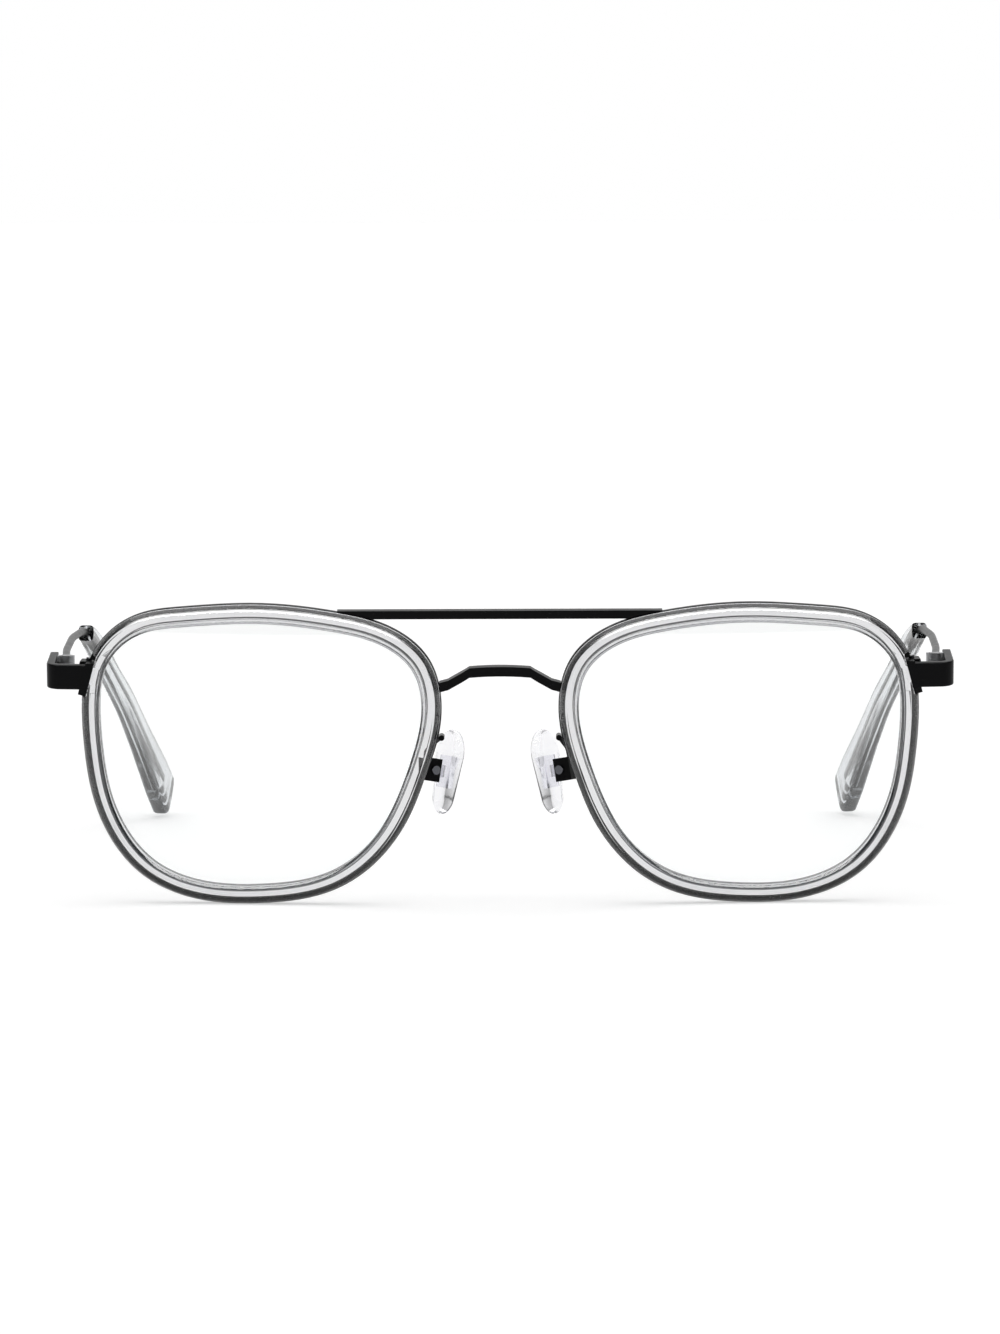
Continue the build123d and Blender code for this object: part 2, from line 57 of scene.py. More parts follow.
def addNode(tree, kind, settings=None, inputs=None):  # inputs: socket -> value or (node, output)
    node = tree.nodes.new(kind)
    for key, value in (settings or {}).items():
        setattr(node, key, value)
    for key, value in (inputs or {}).items():
        if isinstance(value, tuple) and len(value) == 2 and isinstance(value[0], bpy.types.Node):
            tree.links.new(value[0].outputs[value[1]], node.inputs[key])
        else:
            node.inputs[key].default_value = value
    return node


def newMaterial(name):
    material = bpy.data.materials.new(name)
    material.use_nodes = True
    material.node_tree.nodes.clear()
    return material, material.node_tree


def meshObject(name, vertices, faces, smoothAngle=35):  # faces outwards, smooth across edges under the angle
    mesh = bpy.data.meshes.new(name)
    mesh.from_pydata([tuple(v) for v in vertices], [], faces)
    shell = bmesh.new()
    shell.from_mesh(mesh)
    bmesh.ops.remove_doubles(shell, verts=shell.verts, dist=mergeDistance)
    bmesh.ops.recalc_face_normals(shell, faces=shell.faces)
    for edge in shell.edges:
        edge.smooth = len(edge.link_faces) != 2 or edge.calc_face_angle(0) < radians(smoothAngle)
    for face in shell.faces:
        face.smooth = True
    shell.to_mesh(mesh)
    shell.free()
    thing = bpy.data.objects.new(name, mesh)
    bpy.context.scene.collection.objects.link(thing)
    return thing


def dress(thing, material):
    thing.data.materials.clear()
    thing.data.materials.append(material)


def bakedModifier(thing, modifier):  # the mesh with one modifier worked in, which is then taken off
    bpy.context.view_layer.update()
    mesh = bpy.data.meshes.new_from_object(thing.evaluated_get(bpy.context.evaluated_depsgraph_get()))
    thing.modifiers.remove(modifier)
    return mesh


def combined(body, tool, operation):  # body joined with, or cut by, a tool that is then gone
    modifier = body.modifiers.new("combined", "BOOLEAN")
    modifier.operation, modifier.solver, modifier.object = operation, "EXACT", tool
    body.data = bakedModifier(body, modifier)
    bpy.data.objects.remove(tool)
    return body


def seenDirectly(tree, path):  # 1 on rays that show something in the picture, 0 on those that light it
    first = addNode(tree, "ShaderNodeMath", {"operation": "MAXIMUM"}, {
        0: (path, "Is Camera Ray"), 1: (path, "Is Transmission Ray")})
    return addNode(tree, "ShaderNodeMath", {"operation": "MAXIMUM"}, {
        0: (first, "Value"), 1: (path, "Is Glossy Ray")})


# where the right lens stands, as in the frame, and its outline as shares of its half width and half height
front = {
    "lensWidth": 51.6 * mm, "lensHeight": 43.0 * mm, "bridgeWidth": 22.6 * mm, "baseCurve": 130 * mm,
    "tilt": 7.0, "wrap": 5.0, "shiftBack": -66.244205 * mm, "shiftUp": 23.622145 * mm,
    "outline": [(0.944, 0.0), (0.999, 0.325), (0.939, 0.645), (0.718, 0.857), (0.454, 0.944), (0.0, 0.999),
                (-0.466, 0.963), (-0.743, 0.889), (-0.944, 0.657), (-1.0, 0.318), (-0.986, 0.005),
                (-0.945, -0.30), (-0.847, -0.594), (-0.687, -0.823), (-0.463, -0.957), (0.0, -0.998),
                (0.429, -0.888), (0.612, -0.736), (0.757, -0.525), (0.861, -0.279)],
    "steps": 288,
}
tilt, wrap = radians(front["tilt"]), radians(front["wrap"])
backward = Vector((0, cos(tilt), sin(tilt)))
lensAcross = Vector((1, 0, 0)) * cos(wrap) - backward * sin(wrap)
lensForward = -(Vector((1, 0, 0)) * sin(wrap) + backward * cos(wrap))
lensUp = lensForward.cross(lensAcross)
lensCentre = Vector((-(front["bridgeWidth"] + front["lensWidth"] * cos(wrap)) / 2, front["shiftBack"],
                     front["shiftUp"]))
lensFrame = Matrix((lensAcross, lensUp, lensForward)).transposed().to_4x4()
lensFrame.translation = lensCentre
crown = front["baseCurve"] - sqrt(front["baseCurve"] ** 2 - (front["lensHeight"] / 2) ** 2)


def periodicSpline(points, count):  # smooth closed curve through the points, spaced by chord
    pts = np.array(points, float)
    n = len(pts)
    chord = np.linalg.norm(np.roll(pts, -1, 0) - pts, axis=1)
    system = np.zeros((n, n))
    right = np.zeros((n, 2))
    for i in range(n):
        before, after = chord[i - 1], chord[i]
        system[i, (i - 1) % n] = after
        system[i, i] = 2 * (before + after)
        system[i, (i + 1) % n] = before
        right[i] = 3 * (after / before * (pts[i] - pts[i - 1]) + before / after * (pts[(i + 1) % n] - pts[i]))
    slope = np.linalg.solve(system, right)
    knots = np.concatenate([[0], np.cumsum(chord)])
    out = []
    for k in range(count):
        u = knots[-1] * k / count
        i = min(int(np.searchsorted(knots, u, side="right")) - 1, n - 1)
        h, t = chord[i], (u - knots[i]) / chord[i]
        j = (i + 1) % n
        out.append((2 * t ** 3 - 3 * t ** 2 + 1) * pts[i] + (t ** 3 - 2 * t ** 2 + t) * h * slope[i]
                   + (3 * t ** 2 - 2 * t ** 3) * pts[j] + (t ** 3 - t ** 2) * h * slope[j])
    return np.array(out)


outline = periodicSpline(
    [(x * front["lensWidth"] / 2, y * front["lensHeight"] / 2) for x, y in front["outline"]], front["steps"])
along = np.roll(outline, -1, 0) - np.roll(outline, 1, 0)
along /= np.linalg.norm(along, axis=1)[:, None]
outwards = np.stack([along[:, 1], -along[:, 0]], 1)


def onBaseCurve(x, y, offset=0.0):
    ball = front["baseCurve"] + offset
    return sqrt(ball ** 2 - x ** 2 - y ** 2) - front["baseCurve"] + crown


def mirrorMesh(thing, name):  # the same piece on the other side, faces outwards again
    mesh = thing.data.copy()
    mesh.name = name
    mesh.transform(Matrix.Scale(-1, 4, (1, 0, 0)))
    mesh.flip_normals()
    other = bpy.data.objects.new(name, mesh)
    bpy.context.scene.collection.objects.link(other)
    return other


print("stage: lens outline ready")

# acetate rims
rimLook = {
    "lip": 0.75 * mm, "reach": 2.1 * mm, "depth": 4.0 * mm, "bevelIn": (0.35 * mm, 0.3 * mm),
    "bevelOut": (0.95 * mm, 1.15 * mm), "bevelKnee": (0.45 * mm, 0.42 * mm),
    "backIn": 0.3 * mm, "backOut": 0.6 * mm, "backStep": 0.1 * mm,
    "wireDepth": 1.1 * mm, "wireHeight": 1.25 * mm, "wireProud": 0.1 * mm, "wireSetback": 0.15 * mm,
    "fit": 0.03 * mm, "lensFit": 0.08 * mm, "lensThick": 2.0 * mm,
    "edgeRound": 0.1 * mm, "roundSteps": 3, "smoothAngle": 28,
    "tint": "#DFDFE0", "cloud": "#D8D8DA", "cloudSpan": (0.35, 0.65), "roughness": 0.015, "shadow": "#A4A6A6",
    # the groove floor's two dark colours are painted shade
    "grooveShadeDark": "#2A2C2E", "grooveShadeLight": "#55585B", "milledShadow": "#8A8C8E", "milledRoughness": 0.6,
}


def roundedSection(points, radius, steps):  # small rounds on each corner of a closed section
    sideShare = 0.4  # of a side, the most that one round may take
    out = []
    pts = [np.array(p, float) for p in points]
    for i, corner in enumerate(pts):
        before, after = pts[i - 1] - corner, pts[(i + 1) % len(pts)] - corner
        reach = min(radius, np.linalg.norm(before) * sideShare, np.linalg.norm(after) * sideShare)
        a = corner + before / np.linalg.norm(before) * reach
        b = corner + after / np.linalg.norm(after) * reach
        for k in range(steps + 1):
            t = k / steps
            out.append(tuple((1 - t) ** 2 * a + 2 * t * (1 - t) * corner + t ** 2 * b))
    return out


def sweptRingTree():  # Geometry Nodes: a section swept once round a closed path
    tree = bpy.data.node_groups.new("sweptRing", "GeometryNodeTree")
    face = tree.interface
    face.new_socket("Path", in_out="INPUT", socket_type="NodeSocketObject")
    face.new_socket("Section", in_out="INPUT", socket_type="NodeSocketObject")
    face.new_socket("Section Scale", in_out="INPUT", socket_type="NodeSocketFloat")
    face.new_socket("Material", in_out="INPUT", socket_type="NodeSocketMaterial")
    face.new_socket("Geometry", in_out="OUTPUT", socket_type="NodeSocketGeometry")
    given = addNode(tree, "NodeGroupInput")
    path = addNode(tree, "GeometryNodeObjectInfo", inputs={"Object": (given, "Path")})
    section = addNode(tree, "GeometryNodeObjectInfo", inputs={"Object": (given, "Section")})
    upright = addNode(tree, "GeometryNodeSetCurveNormal", {"mode": "Z_UP"}, {"Curve": (path, "Geometry")})
    scaled = addNode(tree, "GeometryNodeTransform", inputs={"Geometry": (section, "Geometry")})
    size = addNode(tree, "ShaderNodeCombineXYZ", inputs={
        "X": (given, "Section Scale"), "Y": (given, "Section Scale"), "Z": (given, "Section Scale")})
    tree.links.new(size.outputs[0], scaled.inputs["Scale"])
    swept = addNode(tree, "GeometryNodeCurveToMesh", inputs={
        "Curve": (upright, "Curve"), "Profile Curve": (scaled, "Geometry")})
    real = addNode(tree, "GeometryNodeRealizeInstances", inputs={"Geometry": (swept, "Mesh")})
    coloured = addNode(tree, "GeometryNodeSetMaterial", inputs={
        "Geometry": (real, "Geometry"), "Material": (given, "Material")})
    result = addNode(tree, "NodeGroupOutput")
    tree.links.new(coloured.outputs["Geometry"], result.inputs["Geometry"])
    return tree


def closedPolyCurve(name, points):
    curve = bpy.data.curves.new(name, "CURVE")
    curve.dimensions = "3D"
    spline = curve.splines.new("POLY")
    spline.points.add(len(points) - 1)
    for point, spot in zip(spline.points, points):
        point.co = (*spot, 1)
    spline.use_cyclic_u = True
    thing = bpy.data.objects.new(name, curve)
    bpy.context.scene.collection.objects.link(thing)
    return thing


def bakeTree(tree, name, values):  # runs a tree with its named inputs and hands back a plain mesh
    carrier = bpy.data.objects.new(name + "Carrier", bpy.data.meshes.new(name + "Carrier"))
    bpy.context.scene.collection.objects.link(carrier)
    modifier = carrier.modifiers.new("tree", "NODES")
    modifier.node_group = tree
    for item in tree.interface.items_tree:
        if item.in_out == "INPUT" and item.name in values:
            modifier[item.identifier] = values[item.name]
    carrier.update_tag()
    mesh = bakedModifier(carrier, modifier)
    bpy.data.objects.remove(carrier)
    return mesh


def rimSection():
    r = rimLook
    half = r["depth"] / 2
    floor = r["reach"] + r["wireProud"] - r["wireHeight"] - r["fit"]
    grooveFront = r["wireDepth"] / 2 - r["wireSetback"] + r["fit"]
    grooveBack = -r["wireDepth"] / 2 - r["wireSetback"] - r["fit"]
    wide = r["lensThick"] / 2 + r["lensFit"]
    lean = r["lip"] * (front["lensWidth"] + front["lensHeight"]) / 4 / front["baseCurve"]
    flank = r["reach"] - r["backStep"]
    return roundedSection([
        (-r["lip"], half - r["bevelIn"][1]), (-r["lip"] + r["bevelIn"][0], half),
        (r["reach"] - r["bevelOut"][0], half), (r["reach"] - r["bevelKnee"][0], half - r["bevelKnee"][1]),
        (r["reach"], half - r["bevelOut"][1]),
        (r["reach"], grooveFront), (floor, grooveFront), (floor, grooveBack), (flank, grooveBack),
        (flank, -half + r["backOut"]), (flank - r["backOut"], -half), (-r["lip"] + r["backIn"], -half),
        (-r["lip"], -half + r["backIn"]), (-r["lip"], lean - wide), (r["lensFit"], -wide),
        (r["lensFit"], wide), (-r["lip"], lean + wide),
    ], r["edgeRound"], r["roundSteps"])


def crystalAcetate(name, look):
    # polished cellulose acetate sheet, clear with a faint grey cast: sharp reflections, a little haze
    material, tree = newMaterial(name)
    spot = addNode(tree, "ShaderNodeTexCoord")
    haze = addNode(tree, "ShaderNodeTexNoise", inputs={
        "Vector": (spot, "Object"), "Scale": 120.0, "Detail": 3.0})  # clouds about 8 mm wide
    colour = addNode(tree, "ShaderNodeValToRGB", inputs={"Fac": (haze, "Fac")})
    cloudy, clear = colour.color_ramp.elements
    cloudy.position, clear.position = look["cloudSpan"]
    cloudy.color, clear.color = linearColour(look["cloud"]), linearColour(look["tint"])
    deepen = look.get("deepen")
    if deepen:  # further back the plastic is a tone deeper, and there its underside, facing down, gets painted shade
        axes = addNode(tree, "ShaderNodeSeparateXYZ", inputs={"Vector": (spot, "Object")})
        depth = addNode(tree, "ShaderNodeMapRange", {"interpolation_type": "SMOOTHSTEP"}, {
            "Value": (axes, "Y"), "From Min": deepen["from"], "From Max": deepen["to"]})
        colour = addNode(tree, "ShaderNodeMix", {"data_type": "RGBA"}, {
            0: (depth, "Result"), 6: (colour, "Color"), 7: linearColour(deepen["back"])})
        # painted shade: faces that point down are mixed towards a dark colour, more so further back
        facing = addNode(tree, "ShaderNodeSeparateXYZ", inputs={"Vector": (spot, "Normal")})
        under = addNode(tree, "ShaderNodeMapRange", inputs={
            "Value": (facing, "Z"), "From Min": deepen["sideways"], "From Max": deepen["downwards"]})
        under = addNode(tree, "ShaderNodeMath", {"operation": "MULTIPLY"}, {
            0: (under, "Result"), 1: (depth, "Result")})
        colour = addNode(tree, "ShaderNodeMix", {"data_type": "RGBA"}, {
            0: (under, "Value"), 6: (colour, 2), 7: linearColour(deepen["paintedUndersideShade"])})
    polish = addNode(tree, "ShaderNodeTexNoise", inputs={
        "Vector": (spot, "Object"), "Scale": 900.0, "Detail": 2.0})  # buffing marks about 1 mm apart
    rough = addNode(tree, "ShaderNodeMapRange", inputs={
        "Value": (polish, "Fac"), "To Min": look["roughness"] * 0.6, "To Max": look["roughness"] * 1.5})
    shade = addNode(tree, "ShaderNodeBsdfPrincipled", inputs={
        "Base Color": (colour, 2 if deepen else "Color"), "Roughness": (rough, "Result"), "IOR": 1.49,
        "Transmission Weight": 1.0})
    return finishClear(material, tree, shade, look["shadow"])


def finishClear(material, tree, shade, tint):  # lamps pass through, so that clear pieces cast faint shadows
    path = addNode(tree, "ShaderNodeLightPath")
    through = addNode(tree, "ShaderNodeBsdfTransparent", inputs={"Color": linearColour(tint)})
    mix = addNode(tree, "ShaderNodeMixShader", inputs={
        0: (path, "Is Shadow Ray"), 1: (shade, "BSDF"), 2: (through, "BSDF")})
    addNode(tree, "ShaderNodeOutputMaterial", inputs={"Surface": (mix, "Shader")})
    return material


def grooveDarkLineMaterial():
    # the acetate at the bottom of the lens groove, milled and unpolished, so rough; its dark grey is painted
    # shade: a thin dark line round the lens
    material, tree = newMaterial("grooveFloorPaintedDarkLine")
    spot = addNode(tree, "ShaderNodeTexCoord")
    marks = addNode(tree, "ShaderNodeTexNoise", inputs={
        "Vector": (spot, "Object"), "Scale": 1500.0, "Detail": 2.0})  # cutter marks about 0.6 mm apart
    colour = addNode(tree, "ShaderNodeValToRGB", inputs={"Fac": (marks, "Fac")})
    dark, light = colour.color_ramp.elements
    dark.color, light.color = linearColour(rimLook["grooveShadeDark"]), linearColour(rimLook["grooveShadeLight"])
    shade = addNode(tree, "ShaderNodeBsdfPrincipled", inputs={
        "Base Color": (colour, "Color"), "Roughness": rimLook["milledRoughness"], "IOR": 1.49})
    return finishClear(material, tree, shade, rimLook["milledShadow"])


def grooveFloorFaces(rim):  # numbers of the faces at the bottom of the lens groove
    back = lensFrame.inverted()
    deepest = 1.5 * rimLook["lensFit"]  # outside the edge of the lens
    found = set()
    for face in rim.data.polygons:
        x, y, z = back @ face.center
        k = int(np.argmin((outline[:, 0] - x) ** 2 + (outline[:, 1] - y) ** 2))
        reach = float(np.dot(np.array((x, y)) - outline[k], outwards[k]))
        if 0 < reach < deepest and abs(z - onBaseCurve(x, y)) < rimLook["lensThick"] / 2:
            found.add(face.index)
    return found


rimAcetate = crystalAcetate("polishedCrystalAcetate", rimLook)
ringPath = closedPolyCurve("ringPath", [(x, y, onBaseCurve(x, y)) for x, y in outline])
sectionCurve = closedPolyCurve("ringSection", [(x, -y, 0) for x, y in rimSection()])
ringMesh = bakeTree(sweptRingTree(), "acetateRim", {
    "Path": ringPath, "Section": sectionCurve, "Section Scale": 1.0, "Material": rimAcetate})
ringMesh.transform(lensFrame)
rimRight = meshObject("acetateRimRight", [v.co for v in ringMesh.vertices],
                      [tuple(p.vertices) for p in ringMesh.polygons], rimLook["smoothAngle"])
for helper in (ringPath, sectionCurve):
    bpy.data.objects.remove(helper)

# the gap that the closing block sits in, cut out of the outer half of the rim
notchLook = {"inset": 1.0 * mm, "height": 6.4 * mm, "reach": 4.2 * mm, "lower": 0.3 * mm,
             "halfDepth": rimLook["depth"] * 2}
lockBox = [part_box("rim_lock_upper_right"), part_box("rim_lock_lower_right")]
lockMiddle = sum((low + high for low, high in lockBox), Vector()) / 4
localLock = lensFrame.inverted() @ lockMiddle
nearest = int(np.argmin(np.linalg.norm(outline - np.array(localLock[:2]), axis=1)))
notchOut = Vector((*outwards[nearest], 0))
notchAlong = Vector((*along[nearest], 0))
stepAside = 2  # outline steps, to either side of the notch, over which the wire's slope is taken
wireSlope = Vector((*along[nearest], onBaseCurve(*outline[(nearest + stepAside) % front["steps"]])
                    - onBaseCurve(*outline[(nearest - stepAside) % front["steps"]])))


def boxMesh(name, centre, axes, halves):
    corners = [centre + axes[0] * (a * halves[0]) + axes[1] * (b * halves[1]) + axes[2] * (c * halves[2])
               for a in (-1, 1) for b in (-1, 1) for c in (-1, 1)]
    faces = [(0, 1, 3, 2), (4, 6, 7, 5), (0, 4, 5, 1), (2, 3, 7, 6), (0, 2, 6, 4), (1, 5, 7, 3)]
    return meshObject(name, corners, faces)


notchSpot = (Vector((*outline[nearest], 0)) + notchOut * (notchLook["inset"] + notchLook["reach"] / 2)
             + notchAlong * notchLook["lower"])
turn = lensFrame.to_3x3()
cutter = boxMesh("notchCutter", lensFrame @ notchSpot, [turn @ notchOut, turn @ notchAlong, lensForward],
                 (notchLook["reach"] / 2, notchLook["height"] / 2, notchLook["halfDepth"]))
combined(rimRight, cutter, "DIFFERENCE")
grooveFaces = grooveFloorFaces(rimRight)
rims = {"right": rimRight, "left": mirrorMesh(rimRight, "acetateRimLeft")}
grooveLine = grooveDarkLineMaterial()
for side in sideNames:
    dress(rims[side], rimAcetate)
    rims[side].data.materials.append(grooveLine)
    for face in rims[side].data.polygons:
        face.material_index = int(face.index in grooveFaces)
    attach(rims[side], "front")
    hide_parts(f"acetate_rim_{side}")
print("stage: acetate rims", len(rimRight.data.polygons), "faces")

# lenses
lensLook = {"bevel": 0.35 * mm, "rings": 26, "smoothAngle": 25, "tint": "#FCFDFD"}


def lensMesh(name):
    half = rimLook["lensThick"] / 2
    steps = front["steps"]
    inner = outline - outwards * lensLook["bevel"]
    vertices, faces, layers = [], [], []
    for offset in (half, -half):
        layer = []
        for ring in range(1, lensLook["rings"] + 1):
            layer.append(range(len(vertices), len(vertices) + steps))
            vertices += [(x, y, onBaseCurve(x, y, offset)) for x, y in inner * (ring / lensLook["rings"])]
        layers.append(layer)
    edge = []
    for lift in (half - lensLook["bevel"], -half + lensLook["bevel"]):
        edge.append(range(len(vertices), len(vertices) + steps))
        vertices += [(x, y, onBaseCurve(x, y, lift)) for x, y in outline]
    for layer, offset in zip(layers, (half, -half)):
        centre = len(vertices)
        vertices.append((0, 0, onBaseCurve(0, 0, offset)))
        for k in range(steps):
            faces.append((centre, layer[0][k], layer[0][(k + 1) % steps]))
        for near, far in zip(layer, layer[1:]):
            for k in range(steps):
                m = (k + 1) % steps
                faces.append((near[k], far[k], far[m], near[m]))
    loops = [layers[0][-1], edge[0], edge[1], layers[1][-1]]
    for upper, lower in zip(loops, loops[1:]):
        for k in range(steps):
            m = (k + 1) % steps
            faces.append((upper[k], lower[k], lower[m], upper[m]))
    return meshObject(name, [lensFrame @ Vector(v) for v in vertices], faces, lensLook["smoothAngle"])


def polishedLensPlastic():
    # cast and coated lens resin, water clear, mirror smooth, with the faintest ripple of the cast
    material, tree = newMaterial("coatedLensResin")
    spot = addNode(tree, "ShaderNodeTexCoord")
    ripple = addNode(tree, "ShaderNodeTexNoise", inputs={
        "Vector": (spot, "Object"), "Scale": 25.0, "Detail": 1.0})  # waves about 40 mm long
    rough = addNode(tree, "ShaderNodeMapRange", inputs={
        "Value": (ripple, "Fac"), "To Min": 0.0, "To Max": 0.012})
    shade = addNode(tree, "ShaderNodeBsdfPrincipled", inputs={
        "Base Color": linearColour(lensLook["tint"]), "Roughness": (rough, "Result"), "IOR": 1.5,
        "Transmission Weight": 1.0, "Specular IOR Level": 0.25})
    return finishClear(material, tree, shade, lensLook["tint"])


lensResin = polishedLensPlastic()
lensRight = lensMesh("lensRight")
lenses = {"right": lensRight, "left": mirrorMesh(lensRight, "lensLeft")}
for side in sideNames:
    dress(lenses[side], lensResin)
    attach(lenses[side], "front")
    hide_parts(f"lens_{side}")
print("stage: lenses")

# black metal, hinge barrels and screws
metalLook = {
    "coat": "#030304", "worn": "#08080A", "roughness": 0.3, "grain": 0.12 * mm, "grainDepth": 0.02 * mm,
    # the barrel greys are a painted highlight on black-coated barrels
    "barrelDark": "#77787A", "barrelLight": "#B5B6B8", "barrelRoughness": (0.35, 0.5),
    # the pad screws' mid grey is partly a painted highlight for their glints
    "blackScrew": ("#232427", 0.2), "padScrewGlintGrey": ("#55565A", 0.16),
}


def matteBlackCoat():
    # spring steel and nickel silver under a thin matte black coat: near black, a soft sheen, fine grain
    material, tree = newMaterial("matteBlackCoat")
    spot = addNode(tree, "ShaderNodeTexCoord")
    grain = addNode(tree, "ShaderNodeTexNoise", inputs={
        "Vector": (spot, "Object"), "Scale": 0.5 / metalLook["grain"], "Detail": 3.0})
    patch = addNode(tree, "ShaderNodeTexNoise", inputs={
        "Vector": (spot, "Object"), "Scale": 300.0, "Detail": 2.0})  # patches about 3 mm wide
    colour = addNode(tree, "ShaderNodeValToRGB", inputs={"Fac": (patch, "Fac")})
    coat, worn = colour.color_ramp.elements
    coat.color, worn.color = linearColour(metalLook["coat"]), linearColour(metalLook["worn"])
    rough = addNode(tree, "ShaderNodeMapRange", inputs={
        "Value": (patch, "Fac"), "To Min": metalLook["roughness"] - 0.05,
        "To Max": metalLook["roughness"] + 0.08})
    bump = addNode(tree, "ShaderNodeBump", inputs={
        "Height": (grain, "Fac"), "Strength": 0.12, "Distance": metalLook["grainDepth"]})
    shade = addNode(tree, "ShaderNodeBsdfPrincipled", inputs={
        "Base Color": (colour, "Color"), "Roughness": (rough, "Result"), "Normal": (bump, "Normal"),
        "IOR": 1.45, "Specular IOR Level": 0.08})
    addNode(tree, "ShaderNodeOutputMaterial", inputs={"Surface": (shade, "BSDF")})
    return material


def turnedSteel(name, tint, roughness):
    # screw steel, blackened, or mid grey for the pad screws, there partly a painted highlight for their
    # glints: more gloss than the coat, turned rings too fine to see
    material, tree = newMaterial(name)
    spot = addNode(tree, "ShaderNodeTexCoord")
    turned = addNode(tree, "ShaderNodeTexNoise", inputs={
        "Vector": (spot, "Object"), "Scale": 4000.0, "Detail": 2.0})  # marks about 0.25 mm apart
    rough = addNode(tree, "ShaderNodeMapRange", inputs={
        "Value": (turned, "Fac"), "To Min": roughness * 0.8, "To Max": roughness * 1.3})
    shade = addNode(tree, "ShaderNodeBsdfPrincipled", inputs={
        "Base Color": linearColour(tint), "Metallic": 1.0, "Roughness": (rough, "Result")})
    addNode(tree, "ShaderNodeOutputMaterial", inputs={"Surface": (shade, "BSDF")})
    return material


def hingeGreyForHighlight():
    # nickel silver hinge barrels, coloured mid grey as a painted highlight for the light that their
    # black-coated tops catch: soft metal sheen
    material, tree = newMaterial("wornNickelSilver")
    spot = addNode(tree, "ShaderNodeTexCoord")
    greyMottle = addNode(tree, "ShaderNodeTexNoise", inputs={
        "Vector": (spot, "Object"), "Scale": 1200.0, "Detail": 3.0})  # light and dark spots about 0.8 mm wide
    colour = addNode(tree, "ShaderNodeValToRGB", inputs={"Fac": (greyMottle, "Fac")})
    dark, light = colour.color_ramp.elements
    dark.color, light.color = linearColour(metalLook["barrelDark"]), linearColour(metalLook["barrelLight"])
    rough = addNode(tree, "ShaderNodeMapRange", inputs={
        "Value": (greyMottle, "Fac"), "To Min": metalLook["barrelRoughness"][0],
        "To Max": metalLook["barrelRoughness"][1]})
    shade = addNode(tree, "ShaderNodeBsdfPrincipled", inputs={
        "Base Color": (colour, "Color"), "Metallic": 0.8, "Roughness": (rough, "Result")})
    addNode(tree, "ShaderNodeOutputMaterial", inputs={"Surface": (shade, "BSDF")})
    return material


blackCoat, hingeHighlightGrey = matteBlackCoat(), hingeGreyForHighlight()
screwSteel = turnedSteel("blackenedScrewSteel", *metalLook["blackScrew"])
padScrewGlintSteel = turnedSteel("padScrewGreyForGlints", *metalLook["padScrewGlintGrey"])
coatedNodes = ("top_bar", "saddle_bridge", "rim_", "end_piece", "temple_arm", "pad_arm", "pad_box")
for name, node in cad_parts.items():
    # pad screws: steel gloss, with mid grey as a painted highlight for their glints
    if name.startswith("pad_screw"):
        dress(node, padScrewGlintSteel)
    elif "screw" in name:
        dress(node, screwSteel)
    # hinge barrels: mid grey, a painted highlight for the light on their tops
    elif name.startswith("hinge"):
        dress(node, hingeHighlightGrey)
    elif name.startswith(coatedNodes):
        dress(node, blackCoat)

# the end piece: its foot ends just above the bar and reaches down over the rim wire
endLook = {
    "above": 0.3 * mm, "footOut": -0.55 * mm, "footFront": 1.935 * mm, "footDown": 2.65 * mm,
    "footHalf": (0.63 * mm, 0.7 * mm, 0.755 * mm), "tailFrom": -66.5 * mm, "smoothAngle": 30,
}
upAlongFront = Vector((0, -sin(tilt), cos(tilt)))
lockAlong = (turn @ wireSlope).normalized()
lockOut = lockAlong.cross(lensForward).normalized()
lockFront = lockOut.cross(lockAlong)
barTop = max(v.co.dot(upAlongFront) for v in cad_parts["end_piece_right"].data.vertices
             if v.co.x < endLook["tailFrom"])


def cutAboveBar(node, name):  # a merged copy of a CAD piece, cut off just above the bar and closed again
    shell = bmesh.new()
    shell.from_mesh(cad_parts[node].data)
    bmesh.ops.remove_doubles(shell, verts=shell.verts, dist=mergeDistance)
    bmesh.ops.bisect_plane(shell, geom=shell.verts[:] + shell.edges[:] + shell.faces[:], clear_outer=True,
                           plane_co=upAlongFront * (barTop + endLook["above"]), plane_no=upAlongFront)
    bmesh.ops.holes_fill(shell, edges=[edge for edge in shell.edges if edge.is_boundary])
    shell.verts.index_update()
    spots = [v.co.copy() for v in shell.verts]
    faces = [[v.index for v in face.verts] for face in shell.faces]
    shell.free()
    return meshObject(name, spots, faces, endLook["smoothAngle"])


footSpot = (lockMiddle + lockOut * endLook["footOut"] + lockFront * endLook["footFront"]
            + lockAlong * endLook["footDown"])
foot = boxMesh("footEnd", footSpot, [lockOut, lockAlong, lockFront], endLook["footHalf"])
endRight = combined(cutAboveBar("end_piece_right", "endPieceRight"), foot, "UNION")
lockRight = cutAboveBar("rim_lock_upper_right", "closingBlockRight")
for rightPiece, leftName, cadName in ((endRight, "endPieceLeft", "end_piece"),
                                      (lockRight, "closingBlockLeft", "rim_lock_upper")):
    for side, piece in zip(sideNames, (rightPiece, mirrorMesh(rightPiece, leftName))):
        dress(piece, blackCoat)
        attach(piece, "front")
        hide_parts(f"{cadName}_{side}")
print("stage: black metal")

